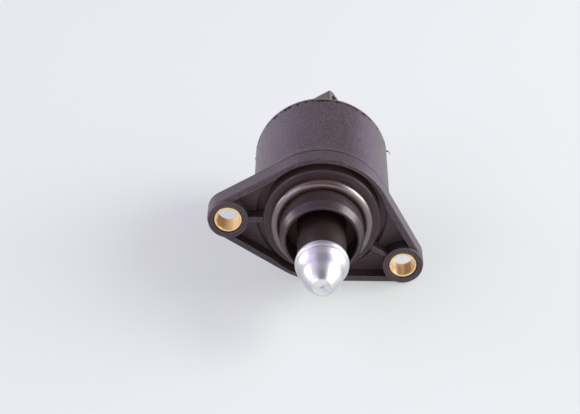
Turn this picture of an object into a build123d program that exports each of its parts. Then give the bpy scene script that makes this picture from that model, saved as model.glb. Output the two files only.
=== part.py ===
"""Idle air control valve: a stepper actuator with a two-ear flange, a nose tube and a sliding valve tip."""

import math
import os

from build123d import *

# All sizes are in millimetres.
# Depth runs along the nose axis: zero on the boss pads, positive towards the tip.

# Flange plate and its two ears
HOLE_SPACING = 50.0
AXIS_OFFSET = 6.574
AXIS_SHIFT = 0.362
EAR_R = 5.7
DISC_STEP = 0.05
PLATE = 5.6
PAD_RISE = 0.7
PAD_MARGIN = 0.2
RIM_WALL = 1.7
POCKET_DEPTH = 4.0
LEFT_RIB = 1.5
RIGHT_RIB = 1.1
RIB_ROOT = 1.0
PLATE_EDGE = 0.35

# Collar, nose tube and the ring on it
COLLAR_EDGE = 0.3
GROOVE_RIM = 1.1
GROOVE_WIDTH = 2.0
GROOVE_DEPTH = 5.0
NOSE_R = 11.4
NOSE_LENGTH = 9.9
NOSE_CHAMFER = 2.3
LIP = 0.65
WELL_R = 9.65
WELL_FLOOR = 1.5
RING_SECTION = 2.85
RING_CENTRE = 0.95
RING_SEAT_DEPTH = 0.25
RING_SQUASH = 0.06
RING_SIDE_ROOM = 0.15

# Brass bushes in the ears
BUSH_R = 3.75
BUSH_BORE_R = 3.15
BUSH_RECESS = 0.2
BUSH_EDGE = 0.25
BUSH_GAP = 0.3
BUSH_GAP_DEPTH = 0.8
HOLE_MOUTH = 0.1

# Motor housing and rear cover
BODY_R = 18.85
BODY_END = 38.3
HOUSING_WALL = 1.85
FLARE = 0.15
FLARE_LENGTH = 2.8
SEAM_EDGE = 0.15
COVER_RIM = 1.0
COVER_PLUG = 1.8
COVER_EDGE = 0.25
SPIGOT_LENGTH = 3.0
SPIGOT_RIBS = 6
SPIGOT_RIB = 1.5
HUB_WALL = 1.2

# Connector on the rear cover, turned from the flange's line of symmetry
CONNECTOR_TURN = 43.0
CONNECTOR_WIDTH = 25.0
CONNECTOR_HEIGHT = 14.2
CONNECTOR_MOUTH = 10.0
CONNECTOR_BACK = 10.5
CONNECTOR_CORNER = 4.0
CONNECTOR_EDGE = 0.4
SHROUD_WALL = 1.7
SOCKET_DEPTH = 11.0
KEY_RIB = 1.2
LATCH_WIDTH = 6.0
LATCH_LENGTH = 4.0
LATCH_HEIGHT = 1.5
PIN_COUNT = 4
PIN_PITCH = 5.0
PIN_WIDTH = 1.5
PIN_THICK = 0.8
PIN_SET_BACK = 4.0
PIN_HEIGHT = 2.6
PIN_LEG_AT = 8.4
PIN_LEG_STOP = 0.8

# Plunger, valve tip and lead screw
PLUNGER_R = 6.6
STOP_RISE = 0.7
STOP_THICK = 1.5
KEY_WIDTH = 2.4
KEY_RISE = 1.5
TRAVEL_OUT = 0.4
TRAVEL_IN = 8.0
GUIDE_LENGTH = 5.0
TIP_R = 7.2
TIP_BASE = 21.3
TIP_END = 33.2
TIP_END_R = 2.6
TIP_RIM = 0.9
TIP_RIM_EDGE = 0.15
TIP_LINE_R = 6.75
TIP_LINE_AT = 2.0
TIP_LINE_CUT = 0.12
TIP_LAND_R = 5.8
TIP_LAND_AT = 3.9
TIP_SHOULDER_R = 5.4
TIP_SHOULDER_AT = 5.8
TIP_BULGE = 0.65
TIP_END_EDGE = 0.2
TIP_PIP_R = 0.35
TIP_SPIGOT_R = 4.0
TIP_SPIGOT_LENGTH = 5.0
SCREW_R = 2.5
SCREW_IN_PLUNGER = 13.5
SCREW_IN_NUT = 10.0

# Rotor, bearings and washers
NUT_LENGTH = 12.0
NUT_RELIEF = 0.25
NUT_END_WALL = 1.0
FRONT_JOURNAL_R = 4.0
FRONT_BUSH_LENGTH = 3.5
REAR_JOURNAL_R = 3.0
REAR_BUSH_WALL = 1.5
MAGNET_R = 8.55
MAGNET_WALL = 2.55
MAGNET_SET_IN = 0.5
WASHER = 0.4
WASHER_WALL = 1.4

# Stator phases
CLAWS = 6
CLAW_THICK = 0.9
CLAW_ROOT = 0.86
CLAW_TIP = 0.42
CUP_PLATE = 1.0
CUP_WALL = 1.0
CLAW_SHORT = 0.5
SPOOL_TUBE = 0.8
SPOOL_END = 0.7
SPOOL_MARGIN = 0.3
COIL_MARGIN = 0.4
LEAD_WIDTH = 20.0
LEAD_BLOCK = 2.5
LEAD_MARGIN = 0.3

# Clearances
RUN_FIT = 0.05
SLIDE_FIT = 0.15
STOP_GAP = 0.1
END_GAP = 0.5
FLOAT_GAP = 0.3
AIR_GAP = 0.35

# Depths that follow from the sizes above
PLATE_FRONT = -PAD_RISE
PLATE_REAR = PLATE_FRONT - PLATE
SPIGOT_END = PLATE_REAR - SPIGOT_LENGTH
GUIDE_END = WELL_FLOOR - GUIDE_LENGTH
STOP_FRONT = GUIDE_END - STOP_GAP - TRAVEL_OUT
STOP_REAR = STOP_FRONT - STOP_THICK
NUT_FRONT = STOP_REAR - TRAVEL_IN - END_GAP
STACK_FRONT = NUT_FRONT - FRONT_BUSH_LENGTH
HOUSING_REAR = -(BODY_END - COVER_RIM)
COVER_REAR = -BODY_END
STACK_REAR = HOUSING_REAR + COVER_PLUG
PHASE = (STACK_FRONT - STACK_REAR) / 2
ROTOR_FRONT = STACK_FRONT - WASHER - FLOAT_GAP
REAR_BUSH_FRONT = STACK_REAR
ROTOR_REAR = REAR_BUSH_FRONT + WASHER + FLOAT_GAP
SHAFT_END = COVER_REAR + FLOAT_GAP

# Radii that follow from the sizes above
BORE_R = BODY_R - HOUSING_WALL
DISC_R = BODY_R + FLARE + DISC_STEP
PAD_R = EAR_R - PAD_MARGIN
GROOVE_R = DISC_R - GROOVE_RIM
COLLAR_R = GROOVE_R - GROOVE_WIDTH
RING_SEAT_R = NOSE_R - RING_SEAT_DEPTH
GUIDE_R = PLUNGER_R + RUN_FIT
STOP_R = PLUNGER_R + STOP_RISE
CAVITY_R = STOP_R + FLOAT_GAP
KEY_R = STOP_R + KEY_RISE
KEYWAY_R = KEY_R + SLIDE_FIT
HUB_R = KEYWAY_R + HUB_WALL
ROTOR_R = MAGNET_R - MAGNET_WALL
CLAW_R = MAGNET_R + AIR_GAP
SPOOL_R = CLAW_R + CLAW_THICK
COIL_IN_R = SPOOL_R + SPOOL_TUBE
SPOOL_END_R = BORE_R - CUP_WALL - SPOOL_MARGIN
COIL_R = SPOOL_END_R - COIL_MARGIN
LEAD_CHORD = math.sqrt((BORE_R - CUP_WALL) ** 2 - (LEAD_WIDTH / 2) ** 2)
NUT_R = SCREW_R + RUN_FIT

# Ears from the nose axis, which stands off the line of the holes and a little nearer the left one
LEFT_ALONG = HOLE_SPACING / 2 - AXIS_SHIFT
RIGHT_ALONG = HOLE_SPACING / 2 + AXIS_SHIFT
LEFT_REACH = math.hypot(LEFT_ALONG, AXIS_OFFSET)
RIGHT_REACH = math.hypot(RIGHT_ALONG, AXIS_OFFSET)
EAR_SPREAD = math.atan2(LEFT_ALONG, AXIS_OFFSET) + math.atan2(RIGHT_ALONG, AXIS_OFFSET)

# Angles in the flange plane: the right ear's lower edge lies level
RIGHT_ANGLE = -math.asin((DISC_R - EAR_R) / RIGHT_REACH)
LEFT_ANGLE = RIGHT_ANGLE + 2 * math.pi - EAR_SPREAD
SYMMETRY_ANGLE = (LEFT_ANGLE + RIGHT_ANGLE) / 2
CONNECTOR_ANGLE = math.degrees(SYMMETRY_ANGLE) - CONNECTOR_TURN
EARS = ((LEFT_REACH, LEFT_ANGLE, LEFT_RIB), (RIGHT_REACH, RIGHT_ANGLE, RIGHT_RIB))
BOLT_X = sum(reach * math.cos(angle) for reach, angle, _ in EARS) / 2
BOLT_Y = sum(reach * math.sin(angle) for reach, angle, _ in EARS) / 2


def polar(radius, angle, centre=(0.0, 0.0)):
    """Point in the flange plane at a radius and angle from a centre."""
    return (centre[0] + radius * math.cos(angle), centre[1] + radius * math.sin(angle))


def turned(*corners):
    """Solid turned about the nose axis from (radius, depth) corners."""
    section = make_face(Polyline(*[(radius, 0, depth) for radius, depth in corners], close=True))
    return revolve(section, Axis.Z)


def tube(inner, outer, low, high):
    """Plain tube between two depths."""
    return Pos(0, 0, low) * extrude(Circle(outer) - Circle(inner), amount=high - low)


def rod(radius, low, high, centre=(0.0, 0.0)):
    """Plain cylinder between two depths."""
    return Pos(centre[0], centre[1], low) * extrude(Circle(radius), amount=high - low)


def block(u_low, u_high, v_low, v_high, low, high):
    """Box between limits in the flange plane and in depth."""
    middle = Pos((u_low + u_high) / 2, (v_low + v_high) / 2, (low + high) / 2)
    return middle * Box(u_high - u_low, v_high - v_low, high - low)


def spoke(start, end, width, angle, low, high):
    """Radial bar between two radii at an angle."""
    return Rot(0, 0, math.degrees(angle)) * block(start, end, -width / 2, width / 2, low, high)


def arc(radius, start, end, centre=(0.0, 0.0)):
    """Arc in the flange plane between two angles."""
    points = [polar(radius, angle, centre) for angle in (start, (start + end) / 2, end)]
    return ThreePointArc(*points)


def flange_outline(inset):
    """Face of the flange: the disc and both ears joined by straight tangents, drawn in by an inset."""
    disc = DISC_R - inset
    ear = EAR_R - inset
    left = polar(LEFT_REACH, LEFT_ANGLE)
    right = polar(RIGHT_REACH, RIGHT_ANGLE)
    left_lean = math.acos((disc - ear) / LEFT_REACH)
    right_lean = math.acos((disc - ear) / RIGHT_REACH)
    floor = RIGHT_ANGLE - right_lean
    right_up = RIGHT_ANGLE + right_lean
    left_up = LEFT_ANGLE - left_lean
    left_down = LEFT_ANGLE + left_lean
    edges = [
        arc(ear, floor, right_up, right),
        Line(polar(ear, right_up, right), polar(disc, right_up)),
        arc(disc, right_up, left_up),
        Line(polar(disc, left_up), polar(ear, left_up, left)),
        arc(ear, left_up, left_down, left),
        Line(polar(ear, left_down, left), polar(disc, left_down)),
        arc(disc, left_down, floor + 2 * math.pi),
        Line(polar(disc, floor), polar(ear, floor, right)),
    ]
    return make_face(Curve() + edges)


def flange_plate():
    """Flange plate with pockets, collar groove, ribs, pads and bush holes."""
    plate = Pos(0, 0, PLATE_REAR) * extrude(flange_outline(0), amount=PLATE)
    front = plate.faces().sort_by(Axis.Z)[-1]
    plate = fillet(front.edges(), PLATE_EDGE)
    pocket = flange_outline(RIM_WALL) - Circle(COLLAR_R)
    for reach, angle, _ in EARS:
        pocket -= Pos(*polar(reach, angle)) * Circle(PAD_R)
    pocket_floor = PLATE_FRONT - POCKET_DEPTH
    groove_floor = PLATE_FRONT - GROOVE_DEPTH
    cut = Pos(0, 0, pocket_floor) * extrude(pocket, amount=POCKET_DEPTH)
    cut += tube(COLLAR_R, GROOVE_R, groove_floor, PLATE_FRONT)
    for reach, angle, rib in EARS:
        cut -= spoke(COLLAR_R - RIB_ROOT, reach - PAD_R + RIB_ROOT, rib, angle, groove_floor, PLATE_FRONT)
    plate -= cut
    for reach, angle, _ in EARS:
        centre = polar(reach, angle)
        plate += rod(PAD_R, PLATE_REAR + PLATE / 2, 0, centre)
        mouth = Pos(*centre, 0) * turned(
            (0, PLATE_REAR),
            (BUSH_R, PLATE_REAR),
            (BUSH_R, -BUSH_GAP_DEPTH),
            (BUSH_R + BUSH_GAP, -BUSH_GAP_DEPTH),
            (BUSH_R + BUSH_GAP, -HOLE_MOUTH),
            (BUSH_R + BUSH_GAP + HOLE_MOUTH, 0),
            (0, 0),
        )
        plate -= mouth
    return plate


def front_flange():
    """Flange with its collar, nose tube, plunger guide and the spigot that enters the housing."""
    ring_end = RING_CENTRE + RING_SECTION / 2 + RING_SIDE_ROOM
    body = turned(
        (HUB_R, STACK_FRONT),
        (HUB_R, SPIGOT_END),
        (BORE_R, SPIGOT_END),
        (BORE_R, PLATE_REAR),
        (COLLAR_R, PLATE_REAR),
        (COLLAR_R, PLATE_FRONT - COLLAR_EDGE),
        (COLLAR_R - COLLAR_EDGE, PLATE_FRONT),
        (RING_SEAT_R, PLATE_FRONT),
        (RING_SEAT_R, ring_end),
        (NOSE_R, ring_end),
        (NOSE_R, NOSE_LENGTH - NOSE_CHAMFER),
        (WELL_R + LIP, NOSE_LENGTH),
        (WELL_R, NOSE_LENGTH),
        (WELL_R, WELL_FLOOR),
        (GUIDE_R, WELL_FLOOR),
        (GUIDE_R, GUIDE_END),
        (CAVITY_R, GUIDE_END),
        (CAVITY_R, STACK_FRONT),
    )
    core = rod(COLLAR_R, PLATE_REAR, PLATE_FRONT)
    flange = (flange_plate() - core) + body
    for index in range(SPIGOT_RIBS):
        angle = SYMMETRY_ANGLE + math.pi * (2 * index + 1) / SPIGOT_RIBS
        flange += spoke(HUB_R - HUB_WALL / 2, COIL_R, SPIGOT_RIB, angle, STACK_FRONT, SPIGOT_END)
    for angle in key_angles():
        flange -= spoke(0, KEYWAY_R, KEY_WIDTH + 2 * SLIDE_FIT, angle, STACK_FRONT, GUIDE_END)
    return flange


def key_angles():
    """Directions of the two keys that stop the plunger turning."""
    return (SYMMETRY_ANGLE, SYMMETRY_ANGLE + math.pi)


def flange_bush(reach, angle):
    """Brass bush pressed through an ear."""
    low = PLATE_REAR
    high = -BUSH_RECESS
    return Pos(*polar(reach, angle), 0) * turned(
        (BUSH_BORE_R, low + BUSH_EDGE),
        (BUSH_BORE_R + BUSH_EDGE, low),
        (BUSH_R, low),
        (BUSH_R, high - BUSH_EDGE / 2),
        (BUSH_R - BUSH_EDGE / 2, high),
        (BUSH_BORE_R + BUSH_EDGE, high),
        (BUSH_BORE_R, high - BUSH_EDGE),
    )


def nose_o_ring():
    """Rubber ring, flattened where it grips the nose."""
    middle = RING_SEAT_R + RING_SECTION / 2 - RING_SQUASH
    ring = Pos(0, 0, RING_CENTRE) * Torus(middle, RING_SECTION / 2)
    return ring - rod(RING_SEAT_R, RING_CENTRE - RING_SECTION, RING_CENTRE + RING_SECTION)


def motor_housing():
    """Cylinder round the stator, flared a little where it meets the flange."""
    return turned(
        (BORE_R, HOUSING_REAR),
        (BODY_R, HOUSING_REAR),
        (BODY_R, PLATE_REAR - FLARE_LENGTH),
        (BODY_R + FLARE, PLATE_REAR - SEAM_EDGE),
        (BODY_R + FLARE - SEAM_EDGE, PLATE_REAR),
        (BORE_R, PLATE_REAR),
    )


def pin_offsets():
    """Sideways places of the terminal pins."""
    first = -PIN_PITCH * (PIN_COUNT - 1) / 2
    return [first + PIN_PITCH * index for index in range(PIN_COUNT)]


def socket_limits():
    """Depths of the two inner faces of the connector socket."""
    return (COVER_REAR - CONNECTOR_HEIGHT + SHROUD_WALL, COVER_REAR - SHROUD_WALL)


def terminal_pin(offset):
    """Blade along the socket with a leg that runs forward into the cover plug."""
    middle = socket_limits()[1] - PIN_HEIGHT
    half = PIN_THICK / 2
    side = PIN_WIDTH / 2
    tip = CONNECTOR_MOUTH - PIN_SET_BACK
    blade = block(-PIN_LEG_AT - half, tip, offset - side, offset + side, middle - half, middle + half)
    end = blade.faces().sort_by(Axis.X)[-1]
    blade = chamfer(end.edges().filter_by(Axis.Y), PIN_THICK / 4)
    leg_top = STACK_REAR - PIN_LEG_STOP
    leg = block(-PIN_LEG_AT - half, -PIN_LEG_AT + half, offset - side, offset + side, middle, leg_top)
    return Rot(0, 0, CONNECTOR_ANGLE) * (blade + leg)


def rear_corners(box):
    """Two long edges on the rear face of the connector's box or socket."""
    return box.faces().sort_by(Axis.Z)[0].edges().filter_by(Axis.X)


def rear_cover():
    """Rear disc with the connector shroud, latch ramp and the seat of the rear bush."""
    low, high = socket_limits()
    half = CONNECTOR_WIDTH / 2
    back = COVER_REAR - CONNECTOR_HEIGHT
    inner = half - SHROUD_WALL
    socket_end = CONNECTOR_MOUTH - SOCKET_DEPTH
    shroud = block(-CONNECTOR_BACK, CONNECTOR_MOUTH, -half, half, back, COVER_REAR)
    shroud = fillet(rear_corners(shroud), CONNECTOR_CORNER)
    ends = shroud.faces().sort_by(Axis.X)
    outline = ends[0].edges() + ends[-1].edges()
    free = [edge for edge in outline if edge.center().Z < COVER_REAR - CONNECTOR_EDGE]
    shroud = fillet(free, CONNECTOR_EDGE)
    socket = block(socket_end, CONNECTOR_MOUTH, -inner, inner, low, high)
    shroud -= fillet(rear_corners(socket), CONNECTOR_CORNER - SHROUD_WALL)
    for side in (-1, 1):
        middle = side * (PIN_PITCH + KEY_RIB)
        near = middle - KEY_RIB / 2
        far = middle + KEY_RIB / 2
        shroud += block(socket_end, CONNECTOR_MOUTH / 2, near, far, high - KEY_RIB, high)
    ramp = make_face(
        Polyline(
            (CONNECTOR_MOUTH - CONNECTOR_EDGE, back),
            (CONNECTOR_MOUTH - CONNECTOR_EDGE - LATCH_LENGTH, back),
            (CONNECTOR_MOUTH - CONNECTOR_EDGE - LATCH_LENGTH, back - LATCH_HEIGHT),
            close=True,
        )
    )
    shroud += extrude(Plane.XZ * ramp, amount=LATCH_WIDTH / 2, both=True)
    disc = turned(
        (0, COVER_REAR),
        (BODY_R - COVER_EDGE, COVER_REAR),
        (BODY_R, COVER_REAR + COVER_EDGE),
        (BODY_R, HOUSING_REAR),
        (BORE_R, HOUSING_REAR),
        (BORE_R, STACK_REAR),
        (0, STACK_REAR),
    )
    cover = disc + Rot(0, 0, CONNECTOR_ANGLE) * shroud
    cover -= rod(REAR_JOURNAL_R + RUN_FIT + REAR_BUSH_WALL, COVER_REAR, STACK_REAR)
    for offset in pin_offsets():
        cover -= terminal_pin(offset)
    for offset in pin_offsets():
        well = block(
            -PIN_LEG_AT - PIN_THICK,
            -PIN_LEG_AT + PIN_THICK,
            offset - PIN_WIDTH,
            offset + PIN_WIDTH,
            STACK_REAR - PIN_LEG_STOP,
            STACK_REAR,
        )
        cover -= Rot(0, 0, CONNECTOR_ANGLE) * well
    return cover


def valve_tip():
    """Turned tip: rim, fine line, steep land and a blunt rounded cone with a flat end."""
    line = TIP_BASE + TIP_LINE_AT
    land = TIP_BASE + TIP_LAND_AT
    shoulder = TIP_BASE + TIP_SHOULDER_AT
    mid_r = (TIP_SHOULDER_R + TIP_END_R) / 2 + TIP_BULGE
    mid_z = (shoulder + TIP_END - TIP_END_EDGE) / 2
    corners = [
        (0, TIP_BASE - TIP_SPIGOT_LENGTH),
        (TIP_SPIGOT_R, TIP_BASE - TIP_SPIGOT_LENGTH),
        (TIP_SPIGOT_R, TIP_BASE),
        (TIP_R - TIP_RIM_EDGE, TIP_BASE),
        (TIP_R, TIP_BASE + TIP_RIM_EDGE),
        (TIP_R, TIP_BASE + TIP_RIM),
        (TIP_LINE_R, line - TIP_LINE_CUT),
        (TIP_LINE_R - TIP_LINE_CUT, line),
        (TIP_LINE_R, line + TIP_LINE_CUT),
        (TIP_LAND_R, land),
        (TIP_SHOULDER_R, shoulder),
    ]
    cone_end = (TIP_END_R, 0, TIP_END - TIP_END_EDGE)
    edges = [
        Polyline(*[(radius, 0, depth) for radius, depth in corners]),
        ThreePointArc((TIP_SHOULDER_R, 0, shoulder), (mid_r, 0, mid_z), cone_end),
        Polyline(
            cone_end,
            (TIP_END_R - TIP_END_EDGE, 0, TIP_END),
            (TIP_PIP_R, 0, TIP_END),
            (0, 0, TIP_END - TIP_PIP_R / 2),
            (0, 0, TIP_BASE - TIP_SPIGOT_LENGTH),
        ),
    ]
    return revolve(make_face(Curve() + edges), Axis.Z)


def plunger():
    """Keyed stem between the tip and the lead screw."""
    stem = turned(
        (SCREW_R, STOP_REAR),
        (STOP_R, STOP_REAR),
        (STOP_R, STOP_FRONT),
        (PLUNGER_R, STOP_FRONT),
        (PLUNGER_R, TIP_BASE),
        (TIP_SPIGOT_R, TIP_BASE),
        (TIP_SPIGOT_R, TIP_BASE - TIP_SPIGOT_LENGTH),
        (0, TIP_BASE - TIP_SPIGOT_LENGTH),
        (0, STOP_REAR + SCREW_IN_PLUNGER),
        (SCREW_R, STOP_REAR + SCREW_IN_PLUNGER),
    )
    for angle in key_angles():
        stem += spoke(STOP_R - STOP_RISE, KEY_R, KEY_WIDTH, angle, STOP_REAR, STOP_FRONT)
    return stem


def lead_screw():
    """Screw fixed in the plunger and running in the rotor nut."""
    return rod(SCREW_R, NUT_FRONT - SCREW_IN_NUT, STOP_REAR + SCREW_IN_PLUNGER)


def rotor_nut():
    """Rotor hub: front journal, nut, magnet seat and rear journal."""
    bore_end = ROTOR_REAR + NUT_END_WALL
    return turned(
        (NUT_R, NUT_FRONT),
        (FRONT_JOURNAL_R, NUT_FRONT),
        (FRONT_JOURNAL_R, ROTOR_FRONT),
        (ROTOR_R, ROTOR_FRONT),
        (ROTOR_R, ROTOR_REAR),
        (REAR_JOURNAL_R, ROTOR_REAR),
        (REAR_JOURNAL_R, SHAFT_END),
        (0, SHAFT_END),
        (0, bore_end),
        (NUT_R + NUT_RELIEF, bore_end),
        (NUT_R + NUT_RELIEF, NUT_FRONT - NUT_LENGTH),
        (NUT_R, NUT_FRONT - NUT_LENGTH),
    )


def rotor_magnet():
    """Ring magnet on the hub."""
    return tube(ROTOR_R, MAGNET_R, ROTOR_REAR + MAGNET_SET_IN, ROTOR_FRONT - MAGNET_SET_IN)


def front_bearing_bush():
    """Bush in the hub that carries the front journal."""
    return tube(FRONT_JOURNAL_R + RUN_FIT, CAVITY_R, STACK_FRONT, NUT_FRONT)


def rear_bearing_bush():
    """Bush in the rear cover that carries the rear journal."""
    bore = REAR_JOURNAL_R + RUN_FIT
    return tube(bore, bore + REAR_BUSH_WALL, COVER_REAR, REAR_BUSH_FRONT)


def front_thrust_washer():
    """Washer between the front bush and the rotor."""
    bore = FRONT_JOURNAL_R + FLOAT_GAP
    return tube(bore, bore + WASHER_WALL, STACK_FRONT - WASHER, STACK_FRONT)


def rear_thrust_washer():
    """Washer between the rear bush and the rotor."""
    bore = REAR_JOURNAL_R + FLOAT_GAP
    return tube(bore, bore + WASHER_WALL, REAR_BUSH_FRONT, REAR_BUSH_FRONT + WASHER)


def lead_window(margin, low, high):
    """Space beside the stator where the winding ends leave it, drawn in by a margin."""
    half = LEAD_WIDTH / 2 - margin
    return Rot(0, 0, CONNECTOR_ANGLE) * block(-BODY_R, -LEAD_CHORD, -half, half, low, high)


def claw_cup(plate_at, facing, turn, walled, notched):
    """Stator cup: a plate, its ring of tapered claws and, on an outer cup, the wall round the coil.

    plate_at is the depth of the plate's outer face, facing the way its claws point,
    and turn the angle of the first claw. The wall has a window for the winding ends,
    and a notched plate lets them pass to the rear.
    """
    inner_face = plate_at + facing * CUP_PLATE
    claw_end = plate_at + facing * (PHASE - CUP_PLATE - CLAW_SHORT)
    wall_end = plate_at + facing * (PHASE - CUP_PLATE)
    cup = tube(CLAW_R, BORE_R, min(plate_at, inner_face), max(plate_at, inner_face))
    if walled:
        wall_low = min(inner_face, wall_end)
        wall_high = max(inner_face, wall_end)
        cup += tube(BORE_R - CUP_WALL, BORE_R, wall_low, wall_high) - lead_window(0, wall_low, wall_high)
    if notched:
        cup -= lead_window(0, min(plate_at, inner_face), max(plate_at, inner_face))
    pitch = math.pi * (2 * CLAW_R + CLAW_THICK) / (2 * CLAWS)
    root = pitch * CLAW_ROOT / 2
    tip = pitch * CLAW_TIP / 2
    taper = make_face(
        Polyline((-root, plate_at), (root, plate_at), (tip, claw_end), (-tip, claw_end), close=True)
    )
    wedge = extrude(Plane.YZ * taper, amount=SPOOL_R + CLAW_THICK)
    claw = wedge & tube(CLAW_R, SPOOL_R, min(plate_at, claw_end), max(plate_at, claw_end))
    for index in range(CLAWS):
        cup += Rot(0, 0, turn + 360 * index / CLAWS) * claw
    return cup


def bobbin(low):
    """Spool of one phase, from its rear end, with the block that holds its winding ends."""
    high = low + PHASE - 2 * CUP_PLATE
    spool = turned(
        (SPOOL_R, low),
        (SPOOL_END_R, low),
        (SPOOL_END_R, low + SPOOL_END),
        (COIL_IN_R, low + SPOOL_END),
        (COIL_IN_R, high - SPOOL_END),
        (SPOOL_END_R, high - SPOOL_END),
        (SPOOL_END_R, high),
        (SPOOL_R, high),
    )
    ring = tube(COIL_R + COIL_MARGIN / 2, BORE_R - SPOOL_MARGIN, low, low + LEAD_BLOCK)
    return spool + (ring & lead_window(LEAD_MARGIN, low, low + LEAD_BLOCK))


def coil(low):
    """Winding of one phase between its spool ends."""
    return tube(COIL_IN_R, COIL_R, low + SPOOL_END, low + PHASE - 2 * CUP_PLATE - SPOOL_END)


def build():
    """Every node by name, along the nose axis."""
    middle = STACK_FRONT - PHASE
    half_claw = 180 / CLAWS
    quarter_claw = half_claw / 2
    front_spool = middle + CUP_PLATE
    rear_spool = STACK_REAR + CUP_PLATE
    nodes = {
        "front_flange": front_flange(),
        "flange_bush_left": flange_bush(LEFT_REACH, LEFT_ANGLE),
        "flange_bush_right": flange_bush(RIGHT_REACH, RIGHT_ANGLE),
        "nose_o_ring": nose_o_ring(),
        "motor_housing": motor_housing(),
        "rear_cover": rear_cover(),
        "valve_tip": valve_tip(),
        "plunger": plunger(),
        "lead_screw": lead_screw(),
        "rotor_nut": rotor_nut(),
        "rotor_magnet": rotor_magnet(),
        "front_bearing_bush": front_bearing_bush(),
        "rear_bearing_bush": rear_bearing_bush(),
        "front_thrust_washer": front_thrust_washer(),
        "rear_thrust_washer": rear_thrust_washer(),
        "front_outer_cup": claw_cup(STACK_FRONT, -1, 0, walled=True, notched=False),
        "front_inner_cup": claw_cup(middle, 1, half_claw, walled=False, notched=True),
        "rear_inner_cup": claw_cup(middle, -1, quarter_claw, walled=False, notched=True),
        "rear_outer_cup": claw_cup(STACK_REAR, 1, quarter_claw + half_claw, walled=True, notched=True),
        "front_bobbin": bobbin(front_spool),
        "rear_bobbin": bobbin(rear_spool),
        "front_coil": coil(front_spool),
        "rear_coil": coil(rear_spool),
    }
    for index, offset in enumerate(pin_offsets(), start=1):
        nodes[f"terminal_pin_{index}"] = terminal_pin(offset)
    return nodes


# The valve lies on its side: the nose axis is level and the right ear's lower edge rests on the floor.
# The origin is midway between the bolt holes, in the plane of the pads.
LYING = Rot(90, 0, 0) * Pos(-BOLT_X, -BOLT_Y, 0)

os.makedirs("parts", exist_ok=True)
for name, part in build().items():
    export_step(LYING * part, f"parts/{name}.step")
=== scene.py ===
"""Looks of an idle air control valve: finishes, turned pieces, moulding marks and a pale studio."""

import logging
import math
import random
from dataclasses import dataclass, field
from enum import Enum

import bmesh
import bpy
from mathutils import Matrix, Vector

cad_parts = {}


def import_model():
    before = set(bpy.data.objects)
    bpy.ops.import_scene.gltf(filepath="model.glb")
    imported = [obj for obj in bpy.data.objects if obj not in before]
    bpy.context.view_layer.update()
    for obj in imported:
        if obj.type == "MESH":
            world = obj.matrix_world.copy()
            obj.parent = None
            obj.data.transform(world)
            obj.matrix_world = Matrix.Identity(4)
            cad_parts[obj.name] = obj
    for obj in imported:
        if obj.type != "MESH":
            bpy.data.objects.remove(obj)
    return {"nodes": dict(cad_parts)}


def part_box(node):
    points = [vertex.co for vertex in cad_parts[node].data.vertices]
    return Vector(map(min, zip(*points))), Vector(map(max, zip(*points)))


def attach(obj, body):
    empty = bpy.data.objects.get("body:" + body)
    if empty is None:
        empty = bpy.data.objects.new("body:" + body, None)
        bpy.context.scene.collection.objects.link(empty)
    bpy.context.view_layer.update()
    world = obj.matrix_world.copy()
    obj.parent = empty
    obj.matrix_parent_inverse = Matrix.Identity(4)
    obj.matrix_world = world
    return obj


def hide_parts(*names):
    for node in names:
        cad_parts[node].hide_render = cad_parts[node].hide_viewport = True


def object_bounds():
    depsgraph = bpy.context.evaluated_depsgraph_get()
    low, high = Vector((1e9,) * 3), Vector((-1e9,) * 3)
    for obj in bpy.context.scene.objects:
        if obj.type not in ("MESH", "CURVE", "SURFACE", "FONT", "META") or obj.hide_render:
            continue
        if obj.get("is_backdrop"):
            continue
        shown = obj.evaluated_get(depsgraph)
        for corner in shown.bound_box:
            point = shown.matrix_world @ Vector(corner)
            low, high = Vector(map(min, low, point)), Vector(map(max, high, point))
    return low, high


LOG = logging.getLogger("valve")
MM = 0.001
SHARP_ANGLE = 40.0
ON_AXIS = 1e-7
LONGEST_ROUNDING = 0.48

Socket = bpy.types.NodeSocket
Material = bpy.types.Material
Piece = bpy.types.Object
Colour = tuple[float, float, float]
Triple = tuple[float, float, float]
Point = tuple[float, float]
Span = tuple[float, float]


class Body(Enum):
    """Bodies of the part that new pieces ride on."""

    HOUSING = "housing"
    PINTLE = "pintle"


class Grain(Enum):
    """Way that a moulding's marks run: scale of its grain and of its drag lines along the nose axis."""

    EVEN = (1.0, 1.0)
    AXIAL = (0.4, 0.06)


@dataclass(frozen=True)
class Marks:
    """Cloudy marks: their number to a metre, octaves of finer ones, and the strength and bend of these."""

    scale: float
    detail: float = 4.0
    rough: float = 0.5
    bend: float = 0.0


@dataclass(frozen=True)
class NoseAxis:
    """Level line through housing and nose; depth runs along it from the bolt pads to the tip."""

    x: float
    z: float

    @classmethod
    def from_node(cls, node: str) -> "NoseAxis":
        """Gives the axis of a round node, from the middle of its box."""
        low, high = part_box(node)
        return cls((low[0] + high[0]) / 2, (low[2] + high[2]) / 2)

    def point(self, radius: float, angle: float, depth: float) -> Vector:
        """Gives the place at a radius, an angle and a depth, in metres and radians."""
        return Vector((self.x + radius * math.cos(angle), -depth, self.z + radius * math.sin(angle)))


@dataclass(frozen=True)
class Corner:
    """One corner of a turned profile, with the radius that rounds it."""

    radius: float
    depth: float
    round: float = 0.0


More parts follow.
